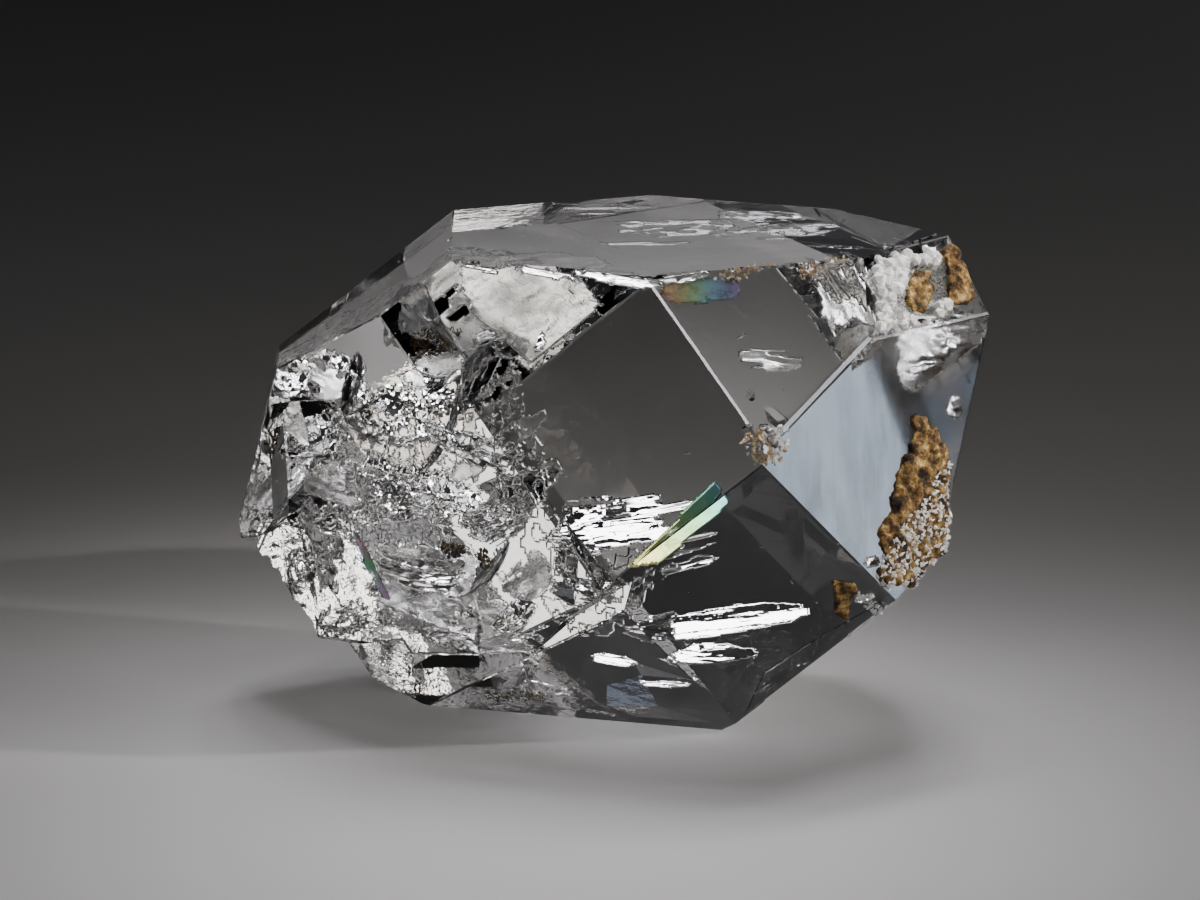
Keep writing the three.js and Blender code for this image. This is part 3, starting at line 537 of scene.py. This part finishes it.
# Cracks that have grown shut around specks: they blur and glow instead of flashing.
HEALED_CRACKS = [
    Veil((-2.29, -3.46, 5.08), (0.21, -0.55, 0.81), 29, (7.8, 7.3), 0.0, 0.016, 0.7, 3.0, 0.95, ragged=0.1,
         corners=((-3.87, -1.07), (3.12, -1.05), (3.06, 1.11), (0.16, 3.58))),
    Veil((5.72, -4.5, 3.82), (-0.01, -0.41, 0.91), 0, (2.3, 1.2), 0.04, 0.02, 0.25, 8.0, 0.4, ragged=0.6),
    Veil((-5.4, -2.3, 5.6), (0.21, -0.55, 0.81), 29, (4.4, 4.0), 0.02, 0.03, 0.5, 4.0, 0.2),
    Veil((-5.0, 0.9, -5.9), (-0.42, -0.4, 0.8), 4, (5.8, 2.2), 0.1, 0.03, 0.6, 1.5, 0.4),
    Veil((-4.8, 1.4, -3.9), (-0.42, -0.4, 0.8), 4, (4.6, 1.6), 0.1, 0.03, 0.6, 1.5, 0.3),
    Veil((-10.6, 3.81, -1.86), (-0.74, -0.27, 0.62), 60, (4.0, 1.8), 0.1, 0.03, 0.5, 3.0, 0.5),
    Veil((-9.64, 5.65, -5.0), (-0.73, -0.46, 0.5), 10, (5.0, 3.0), 0.1, 0.03, 0.8, 1.5, 0.4),
    Veil((-8.46, 2.5, 2.3), (-0.43, -0.48, 0.77), -20, (3.6, 2.4), 0.1, 0.03, 0.7, 2.0, 0.3),
    Veil((-2.99, -3.76, -1.4), (-0.43, -0.48, 0.77), 50, (3.6, 2.4), 0.1, 0.02, 0.7, 2.0, 0.4),
    Veil((-1.96, -4.66, -3.33), (-0.33, -0.49, 0.81), 60, (2.8, 2.0), 0.1, 0.02, 0.7, 2.0, 0.4),
    Veil((-3.72, -2.56, -5.3), (-0.4, -0.51, 0.77), 10, (3.0, 2.0), 0.1, 0.02, 0.6, 2.0, 0.5),
    Veil((12.1, -0.6, 3.9), (0.7, -0.25, 0.67), -20, (1.2, 0.6), 0.01, 0.01, 0.25, 5.0, 0.3),
    Veil((-10.2, 3.3, -0.3), (-0.43, -0.48, 0.77), 20, (3.0, 2.2), 0.1, 0.03, 0.6, 2.0, 0.35),
    Veil((8.72, -3.22, 4.54), (-0.01, -0.41, 0.91), 20, (2.0, 2.9), 0.02, 0.02, 0.5, 2.0, 1.0, ragged=0.2,
         corners=((-0.78, -1.41), (0.39, -0.78), (0.95, 0.63), (-0.43, 0.64))),
    Veil((7.99, -1.94, 5.38), (0.0, -0.41, 0.91), -70, (6.5, 4.1), 0.02, 0.03, 0.4, 6.0, -0.05, ragged=0.2,
         corners=((3.21, -0.71), (2.55, 0.64), (-1.44, 2.0), (-1.79, -0.71))),
    Veil((-5.0, -1.2, 3.2), (-0.4, -0.48, 0.78), 20, (2.6, 1.2), 0.05, 0.02, 0.6, 2.0, 0.4),
    Veil((11.39, -1.36, 3.54), (0.16, -0.5, 0.85), -1, (4.7, 4.3), 0.02, 0.03, 0.5, 2.0, 0.6, ragged=0.15,
         corners=((-1.78, -1.07), (-0.45, -2.12), (2.3, -1.95), (2.29, 1.7), (-1.92, 1.8))),
    Veil((-10.78, 2.23, 1.94), (-0.43, -0.48, 0.77), 0, (2.9, 3.4), 0.1, 0.03, 0.6, 2.0, 0.5, ragged=0.2,
         corners=((-0.7, -1.61), (1.41, -0.87), (0.79, 1.63), (-1.22, 0.92))),
    Veil((-9.23, 2.07, -1.75), (-0.43, -0.48, 0.77), 0, (3.2, 3.1), 0.1, 0.03, 0.6, 2.0, 0.5, ragged=0.2,
         corners=((-0.79, -1.48), (1.55, -0.88), (0.88, 1.5), (-1.53, 0.78))),
    Veil((-5.98, -2.2, 5.71), (0.87, 0.44, 0.21), 0, (7.2, 4.9), 0.0, 0.03, 0.6, 1.0, 0.8, ragged=0.1,
         corners=((-1.7, -0.98), (3.47, -2.39), (3.53, -0.0), (1.32, 1.39), (-2.07, 1.55))),
    Veil((8.63, -4.17, 4.98), (0.74, -0.67, 0.1), 0, (2.7, 2.0), 0.02, 0.01, 0.5, 2.0, 1.0, ragged=0.1,
         corners=((-0.59, -0.93), (0.48, -0.59), (1.28, -0.09), (0.23, 0.63), (-1.02, 0.83))),
    Veil((-10.71, 3.12, -0.29), (-0.68, -0.49, 0.54), 0, (3.3, 4.0), 0.02, 0.02, 0.6, 3.0, 0.8, ragged=0.1,
         corners=((-0.35, -0.5), (1.0, -1.85), (1.62, -0.94), (-0.24, 1.93), (-1.49, 1.58))),
    Veil((-6.34, 0.37, -8.16), (-0.27, -0.61, 0.74), 0, (0.9, 2.8), 0.02, 0.02, 0.6, 1.0, 1.0, ragged=0.1,
         corners=((-0.2, -1.35), (0.4, -1.22), (0.25, 1.16), (-0.35, 1.04))),
    Veil((-5.92, -1.21, -5.36), (-0.4, -0.5, 0.77), 0, (5.9, 6.3), 0.06, 0.03, 0.6, 2.0, 0.45, ragged=0.1,
         corners=((-1.66, -2.26), (2.83, -1.11), (1.84, 3.09), (-2.89, 1.9))),
    Veil((-3.0, -3.6, -6.2), (-0.38, -0.42, 0.82), 0, (2.8, 1.4), 0.05, 0.02, 0.6, 2.0, 0.4),
    Veil((-5.0, 3.0, -0.2), (-0.5, -0.75, 0.43), 20, (7.6, 5.0), 0.5, 0.08, 1.4, 1.0, 0.1),
    Veil((-4.2, 2.2, -4.8), (-0.35, -0.85, 0.4), -10, (6.6, 4.0), 0.4, 0.08, 1.2, 1.0, 0.15),
    Veil((-3.4, -3.6, 0.9), (-0.5, -0.8, 0.3), 36, (4.6, 0.9), 0.1, 0.04, 0.8, 1.0, 0.9),
]


def axes_on(normal, heading):
    """Two unit axes in the plane of a normal: the first level and turned by `heading`, the second across."""
    level = normal.cross(UP)
    level = level.normalized() if level.length > 1e-4 else Vector((1, 0, 0))
    if level.x < 0:
        level = -level
    first = Matrix.Rotation(math.radians(heading), 3, normal) @ level
    return first, normal.cross(first)


def beyond_corners(corners, x, y):
    """How far out a place lies in a convex outline: under 1 inside, 1 on its edge."""
    reach = 0.0
    for (x1, y1), (x2, y2) in zip(corners, corners[1:] + corners[:1]):
        side = (x2 - x1) * (y - y1) - (y2 - y1) * (x - x1)
        middle = (y2 - y1) * x1 - (x2 - x1) * y1
        reach = max(reach, 1 - side / middle)
    return reach


def sheet_points(veil, seed):
    """The sheet's grid of points, and how far out each one is: 1 at the sheet's ragged rim."""
    normal = Vector(veil.normal).normalized()
    first, second = axes_on(normal, veil.heading)
    columns, rows = (max(2, round(side / VEIL_CELL)) for side in veil.size)
    shift = Vector((seed * SEED_SHIFT[0], seed * SEED_SHIFT[1], 0))
    points, reaches = [], []
    for row in range(rows + 1):
        for column in range(columns + 1):
            x, y = (column / columns - 0.5) * veil.size[0], (row / rows - 0.5) * veil.size[1]
            along, across = abs(2 * x / veil.size[0]), abs(2 * y / veil.size[1])
            if veil.corners:
                reach = beyond_corners(veil.corners, x, y)
            else:
                reach = max(along, across) ** 4 if veil.square else along ** 2 + across ** 2
            drawn = Vector((x / veil.stretch, y, 0))
            wave = noise.fractal(drawn / veil.ripple_length + shift, *WAVE_KIND)
            lift = veil.bow * (along ** 2 + across ** 2 - BOW_LEVEL) + veil.ripple * wave
            points.append(Vector(veil.centre) + first * x + second * y + normal * lift)
            ragged = noise.fractal(drawn / RAG_LENGTH + shift, *RAG_KIND)
            holed = noise.noise(drawn / HOLE_LENGTH + shift) > veil.cover
            reaches.append(PAST_RIM if holed else reach + veil.ragged * ragged)
    return points, reaches, columns, rows, normal


def sheet_shell(skin, veil, seed, gap=VEIL_GAP, margin=VEIL_MARGIN):
    """Vertices and outward faces of one thin sheet that stays inside the crystal."""
    points, reaches, columns, rows, normal = sheet_points(veil, seed)
    kept = np.zeros((rows, columns), bool)
    for row in range(rows):
        for column in range(columns):
            corner = row * (columns + 1) + column
            kept[row, column] = reaches[corner] < 1 and skin.depth(points[corner]) > margin
    lift = normal * (gap / 2)
    vertices = [point + lift for point in points] + [point - lift for point in points]
    layer = len(points)
    faces = []
    for row, column in zip(*np.nonzero(kept)):
        corner = row * (columns + 1) + column
        ring = [corner, corner + 1, corner + columns + 2, corner + columns + 1]
        faces.append(ring)
        faces.append([index + layer for index in reversed(ring)])
        beside = [(row - 1, column), (row, column + 1), (row + 1, column), (row, column - 1)]
        for side, (next_row, next_column) in enumerate(beside):
            within = 0 <= next_row < rows and 0 <= next_column < columns
            if not (within and kept[next_row, next_column]):
                start, end = ring[side], ring[(side + 1) % 4]
                faces.append([start, start + layer, end + layer, end])
    return vertices, faces


class Skin:
    """The crystal's surface, asked about in millimetres from its centre."""

    def __init__(self, shape):
        self.tree = BVHTree.FromBMesh(shape)

    def inside(self, point):
        """Whether a line straight up from the point leaves the crystal once more than it enters."""
        start, leaving = (point + CENTRE) * MM, 0
        for _ in range(SKIN_CROSSINGS):
            hit, outward, _, _ = self.tree.ray_cast(start, UP)
            if hit is None:
                break
            leaving += 1 if outward.z > 0 else -1
            start = hit + UP * (SKIN_STEP * MM)
        return leaving > 0

    def depth(self, point):
        """How deep a point lies inside the crystal; below zero outside it."""
        place = self.tree.find_nearest((point + CENTRE) * MM)[0] / MM - CENTRE
        away = (place - point).length
        return away if self.inside(point) else -away


def corner_verts(shape, vertices, faces):
    """The bmesh vertices that a shell's faces need, by their place in its list."""
    used = sorted({index for face in faces for index in face})
    return {index: shape.verts.new((vertices[index] + CENTRE) * MM) for index in used}


def add_pocket(shape, vertices, faces, material_index, smooth):
    """Joins a closed shell to the quartz as a hollow: its faces are turned to look into it."""
    made = corner_verts(shape, vertices, faces)
    for face in faces:
        wall = shape.faces.new([made[index] for index in reversed(face)])
        wall.material_index = material_index
        wall.smooth = smooth


def mesh_of(name, shape):
    """Ends a bmesh as a mesh."""
    mesh = bpy.data.meshes.new(name)
    shape.to_mesh(mesh)
    shape.free()
    return mesh


def shell_mesh(name, skin, veil, gap, margin):
    """A thin sheet as a mesh of its own, faces outward."""
    shape = bmesh.new()
    vertices, faces = sheet_shell(skin, veil, 0, gap, margin)
    made = corner_verts(shape, vertices, faces)
    for face in faces:
        shape.faces.new([made[index] for index in face]).smooth = True
    return mesh_of(name, shape)


# ---- Grains strewn over a surface -------------------------------------------------------------

def grain_tree():
    """Strews small faceted grains over a surface, turned and sized at random."""
    tree = bpy.data.node_groups.new("strewn_grains", "GeometryNodeTree")
    for name, kind in [("Surface", "Geometry"), ("Density", "Float"), ("Smallest", "Vector"),
                       ("Largest", "Vector"), ("Seed", "Int"), ("Grain Material", "Material")]:
        tree.interface.new_socket(name, in_out="INPUT", socket_type="NodeSocket" + kind)
    tree.interface.new_socket("Grains", in_out="OUTPUT", socket_type="NodeSocketGeometry")
    given = add_node(tree, "NodeGroupInput").outputs
    spots = add_node(tree, "GeometryNodeDistributePointsOnFaces", inputs={
        "Mesh": given["Surface"], "Density": given["Density"], "Seed": given["Seed"],
    })
    grain = add_node(tree, "GeometryNodeMeshCone", inputs={
        "Vertices": 6, "Radius Top": 0.2, "Radius Bottom": 0.8, "Depth": 1.6,
    })
    turn = add_node(tree, "FunctionNodeRandomValue", {"data_type": "FLOAT_VECTOR"}, {
        "Min": (0.0, 0.0, 0.0), "Max": (math.tau, math.tau, math.tau), "Seed": given["Seed"],
    })
    scale = add_node(tree, "FunctionNodeRandomValue", {"data_type": "FLOAT_VECTOR"}, {
        "Min": given["Smallest"], "Max": given["Largest"], "Seed": given["Seed"],
    })
    strewn = add_node(tree, "GeometryNodeInstanceOnPoints", inputs={
        "Points": spots.outputs["Points"], "Instance": grain.outputs["Mesh"],
        "Rotation": turn.outputs["Value"], "Scale": scale.outputs["Value"],
    })
    whole = add_node(tree, "GeometryNodeRealizeInstances", inputs={"Geometry": strewn.outputs["Instances"]})
    coated = add_node(tree, "GeometryNodeSetMaterial", inputs={
        "Geometry": whole.outputs["Geometry"], "Material": given["Grain Material"],
    })
    add_node(tree, "NodeGroupOutput", inputs={"Grains": coated.outputs["Geometry"]})
    return tree


GRAINS = grain_tree()


def settled_mesh(holder):
    """What an object's modifiers make of it, as a plain mesh; the object itself goes."""
    mesh = bpy.data.meshes.new_from_object(holder.evaluated_get(bpy.context.evaluated_depsgraph_get()))
    holder.modifiers.clear()
    bpy.data.objects.remove(holder)
    return mesh


def strewn_grains(surface, per_mm2, smallest, largest, seed, material):
    """A plain mesh of grains on a surface mesh, their radii in mm."""
    holder = add_object("grain_bed", surface, [])
    modifier = holder.modifiers.new("grains", "NODES")
    modifier.node_group = GRAINS
    values = {
        "Density": per_mm2 / MM ** 2, "Smallest": [smallest * MM] * 3, "Largest": [largest * MM] * 3,
        "Seed": seed, "Grain Material": material,
    }
    for socket in GRAINS.interface.items_tree:
        if socket.name in values:
            modifier[socket.identifier] = values[socket.name]
    return settled_mesh(holder)


# ---- Quartz ---------------------------------------------------------------------------------

CLEAR, CRACK, HEALED, ETCHED, SUGAR = range(5)

ETCHED_FACE = (0.729, -0.680, 0.074)         # outward normal of the matt side face
SAME_FACE = 0.999                            # cosine between the normals of one face's parts
CONTACT_FACE = (0.602, -0.549, 0.580)        # outward normal of the drusy contact face
CONTACT_DISTANCE = 10.99                     # from the crystal's centre
DRUSE_RISE, DRUSE_FACE_AREA = 0.02, 0.6      # how far druse stands out of it, and its largest facet
SOFT_EDGE_WIDTH = 0.05
# Which edges are softened: at least this long and this sharp, between faces at least this large.
SOFT_EDGE_LENGTH, SOFT_EDGE_ANGLE, SOFT_FACE_AREA = 1.5, math.radians(12), 0.8
RIM_TURN = 40                                # degrees from one rim crack's heading to the next


def finish_faces(shape):
    """Gives the matt face and the druse grains their own finishes."""
    etched, contact = Vector(ETCHED_FACE), Vector(CONTACT_FACE)
    for face in shape.faces:
        reach = (face.calc_center_median() / MM - CENTRE).dot(contact)
        if face.normal.dot(etched) > SAME_FACE:
            face.material_index = ETCHED
        elif reach > CONTACT_DISTANCE + DRUSE_RISE and face.calc_area() < DRUSE_FACE_AREA * MM ** 2:
            face.material_index = SUGAR


def rim_cracks():
    """The small cracks strung along the shattered rim."""
    cracks = []
    for start, end in zip(RIM_PATH, RIM_PATH[1:]):
        for step in range(RIM_COUNT):
            centre = Vector(start).lerp(Vector(end), step / RIM_COUNT)
            cracks.append(RIM_CRACK._replace(centre=tuple(centre), heading=RIM_TURN * step))
    return cracks


def soften_edges(shape):
    """Takes a hair off the long outer edges, so that they catch the light."""
    shape.normal_update()
    edges = [
        edge for edge in shape.edges
        if edge.is_manifold and edge.is_convex and edge.calc_length() > SOFT_EDGE_LENGTH * MM
        and edge.calc_face_angle() > SOFT_EDGE_ANGLE
        and min(face.calc_area() for face in edge.link_faces) > SOFT_FACE_AREA * MM ** 2
    ]
    bmesh.ops.bevel(shape, geom=edges, offset=SOFT_EDGE_WIDTH * MM, segments=1, affect="EDGES",
                    clamp_overlap=False)


def make_quartz():
    shape = merged_copy("quartz_crystal")
    soften_edges(shape)
    skin = Skin(shape)
    finish_faces(shape)
    seed = 0
    for veils, finish, margin in [(BRIGHT_CRACKS, CRACK, VEIL_MARGIN), (STEEP_CRACKS, CRACK, VEIL_MARGIN),
                                  (HEALED_CRACKS, HEALED, VEIL_MARGIN), (EDGE_CRACKS, CRACK, RIM_MARGIN),
                                  (rim_cracks(), CRACK, RIM_MARGIN)]:
        for veil in veils:
            seed += 1
            add_pocket(shape, *sheet_shell(skin, veil, seed, margin=margin), finish, not veil.flat)
    piece = add_object("rock_crystal", mesh_of("quartz", shape), [
        clear_quartz(), crack_in_quartz(), healed_crack(), etched_quartz(), sugary_quartz(),
    ])
    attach(piece, "root")
    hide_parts("quartz_crystal")
    return skin


# ---- Limonite crusts --------------------------------------------------------------------------

CRUST_VOXEL = 0.07
CRUST_SINK = 0.06            # how far a crust is pressed into the face it sits on
CRUST_LUMPS = ((0.2, 0.9), (0.12, 0.34), (0.05, 0.16))  # height and length of its lumps, knobs and grit
SUGARED_SIDE = (0.75, 0.0, -0.66)      # from the crystal's centre towards the crust's lower right
SUGARED_START = 9.0          # how far out along it the grains begin
SUGARED_GRAINS = (34, 0.04, 0.13, 7)   # to the square millimetre, smallest and largest radius, seed
CRUSTS = ["limonite_crust_right", "limonite_patch_contact_left", "limonite_patch_contact_right",
          "limonite_crumb_front"]


def remeshed(mesh):
    """A closed mesh made again from small even faces."""
    holder = add_object("remeshed", mesh, [])
    modifier = holder.modifiers.new("voxels", "REMESH")
    modifier.mode = "VOXEL"
    modifier.voxel_size = CRUST_VOXEL * MM
    modifier.use_smooth_shade = True
    return settled_mesh(holder)


def make_crust(name, material):
    mesh = remeshed(mesh_of(name, merged_copy(name)))
    middle = sum((vertex.co for vertex in mesh.vertices), Vector()) / len(mesh.vertices)
    sink = (middle / MM - CENTRE).normalized() * (CRUST_SINK * MM)
    places = []
    for vertex in mesh.vertices:
        point = vertex.co / MM
        push = sum(height * noise.fractal(point / length, *LUMP_KIND) for height, length in CRUST_LUMPS)
        places.append(vertex.co + vertex.normal * (push * MM) - sink)
    for vertex, place in zip(mesh.vertices, places):
        vertex.co = place
    piece = add_object(name.replace("limonite", "rough"), mesh, [material])
    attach(piece, "root")
    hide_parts(name)
    return mesh


def make_crusts():
    """The crusts; hands back the largest one's mesh."""
    material = limonite()
    return [make_crust(name, material) for name in CRUSTS][0]


def sugared_part(crust):
    """The lower right part of a crust's surface, which quartz grains cling to."""
    shape = bmesh.new()
    shape.from_mesh(crust)
    side = Vector(SUGARED_SIDE)
    bare = [face for face in shape.faces
            if (face.calc_center_median() / MM - CENTRE).dot(side) < SUGARED_START]
    bmesh.ops.delete(shape, geom=bare, context="FACES")
    return mesh_of("sugared_part", shape)


# ---- Films of colour and strewn crumbs --------------------------------------------------------

C_AXIS = (0.7857, 0.0, 0.6186)

FILM_GAP, FILM_MARGIN = 0.01, 0.03
FRONT_FILM = Veil((2.28, -8.45, -1.29), (0.31, -0.95, 0.03), 38, (5.5, 1.1), 0.0, 0.004, 0.6, 3.0, 1.0,
                  ragged=0.1, corners=((-2.66, -0.49), (2.6, -0.23), (2.71, 0.44), (-2.6, 0.23)))
BROW_FILM = Veil((3.4, -4.65, 6.72), (0.13, -0.6, 0.79), 3, (3.0, 1.1), 0.0, 0.01, 0.8, 1.0, 1.0)
SIDE_FILM = Veil((-7.9, 0.5, -4.3), (-0.729, -0.680, -0.074), -56, (3.0, 0.5), 0.0, 0.01, 0.8, 1.0, 1.0,
                 ragged=0.2)

YELLOW_TO_BLUE = [(0.0, "#f6e8a4"), (0.3, "#eeee9e"), (0.5, "#d6ee9e"), (0.7, "#b4f0b2"), (0.85, "#90e4d0"),
                  (0.97, "#a8c8f0")]
RAINBOW = [(0.0, "#a08078"), (0.25, "#c0a478"), (0.5, "#8aac88"), (0.7, "#80a0b4"), (0.95, "#8a80a4")]
PINK_TO_GREEN = [(0.0, "#e86ab0"), (0.3, "#d8c8e8"), (0.55, "#7ae0a0"), (0.75, "#f0a0d0"), (0.95, "#8ae8c0")]


def along_centre(direction, offset):
    """How far along a direction a place lies that is `offset` mm past the crystal's centre."""
    return Vector(direction).dot(CENTRE) + offset


def make_films(skin):
    films = [
        ("front_film", FRONT_FILM, C_AXIS, (-1.3, 3.6), YELLOW_TO_BLUE, 0.1),
        ("brow_film", BROW_FILM, (1.0, 0.0, 0.0), (2.0, 4.8), RAINBOW, 0.6),
        ("side_film", SIDE_FILM, (0.0, 0.0, 1.0), (-5.6, -3.0), PINK_TO_GREEN, 0.22),
    ]
    for name, veil, direction, (start, end), colours, roughness in films:
        bands = (along_centre(direction, start), along_centre(direction, end), colours, roughness)
        piece = add_object(name, shell_mesh(name, skin, veil, FILM_GAP, FILM_MARGIN), [
            film_of_air(name, direction, *bands),
        ])
        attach(piece, "root")


class Bed(NamedTuple):
    """A sheet that crumbs are strewn on."""
    veil: Veil
    per_mm2: float
    smallest: float              # radii
    largest: float
    margin: float = 0.06         # how far inside the crystal they stay; below zero they may sit on it


BED_GAP = 0.02
CRUMB_BEDS = {
    "limonite": [
        Bed(Veil((-4.8, -2.3, -2.9), (-0.73, -0.68, -0.07), 4, (1.3, 0.5)), 60, 0.04, 0.13),
        Bed(Veil((-3.7, -3.5, -2.9), (-0.73, -0.68, -0.07), 80, (0.8, 0.5)), 60, 0.04, 0.13),
        Bed(Veil((-5.6, -2.8, 4.55), (-0.5, -0.8, 0.3), 10, (2.0, 1.0)), 120, 0.02, 0.06),
        Bed(Veil((-7.8, 0.5, 1.3), (-0.73, -0.68, -0.07), 60, (0.6, 0.5)), 60, 0.03, 0.09),
        Bed(Veil((-2.9, -1.7, -8.2), (-0.24, -0.68, -0.69), 10, (2.8, 0.7)), 60, 0.02, 0.07),
        Bed(Veil((11.0, -1.5, 5.5), CONTACT_FACE, 20, (1.6, 1.4)), 20, 0.05, 0.14, -0.2),
        Bed(Veil((-2.1, -6.5, 2.6), (-0.31, -0.87, 0.39), 60, (0.5, 0.25)), 40, 0.02, 0.06),
    ],
    "beige_sand": [
        Bed(Veil((5.6, -8.6, 2.1), (0.1, -0.95, 0.25), -30, (1.5, 1.1), 0.0, cover=1.1),
            22, 0.05, 0.14, -0.3),
        Bed(Veil((5.0, -3.75, 7.25), (0.2, -0.6, 0.8), 14, (2.8, 0.5), 0.0), 40, 0.03, 0.09, 0.02),
        Bed(Veil((7.6, -2.8, 7.2), (0.2, -0.6, 0.8), 20, (2.4, 0.6), 0.0), 40, 0.03, 0.1, 0.02),
    ],
    "quartz_sugar": [
        Bed(Veil((10.4, -2.1, 6.15), CONTACT_FACE, 10, (2.4, 2.2), 0.0, square=True), 240, 0.025, 0.07, -0.3),
        Bed(Veil((11.4, -1.0, 5.9), CONTACT_FACE, 10, (3.0, 2.4), 0.0), 180, 0.025, 0.07, -0.3),
        Bed(Veil((5.8, -8.45, 2.3), (0.1, -0.95, 0.25), 20, (1.6, 1.0), 0.0), 24, 0.05, 0.14, -0.3),
        Bed(Veil((9.3, -4.5, -4.4), (0.309, -0.866, -0.393), -50, (1.6, 0.4), 0.0), 50, 0.04, 0.1, -0.3),
    ],
}


def make_crumbs(skin, crust, materials):
    for name, beds in CRUMB_BEDS.items():
        shape = bmesh.new()
        for seed, bed in enumerate(beds):
            surface = shell_mesh("bed", skin, bed.veil, BED_GAP, bed.margin)
            grains = (bed.per_mm2, bed.smallest, bed.largest, seed)
            shape.from_mesh(strewn_grains(surface, *grains, materials[name]))
        if name == "quartz_sugar":
            shape.from_mesh(strewn_grains(sugared_part(crust), *SUGARED_GRAINS, materials[name]))
        piece = add_object(name + "_crumbs", mesh_of(name + "_crumbs", shape), [materials[name]])
        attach(piece, "root")


make_camera()
make_floor()
make_lights()
crystal_skin = make_quartz()
right_crust = make_crusts()
make_films(crystal_skin)
make_crumbs(crystal_skin, right_crust, {
    "limonite": limonite(), "beige_sand": beige_sand(), "quartz_sugar": sugary_quartz(),
})
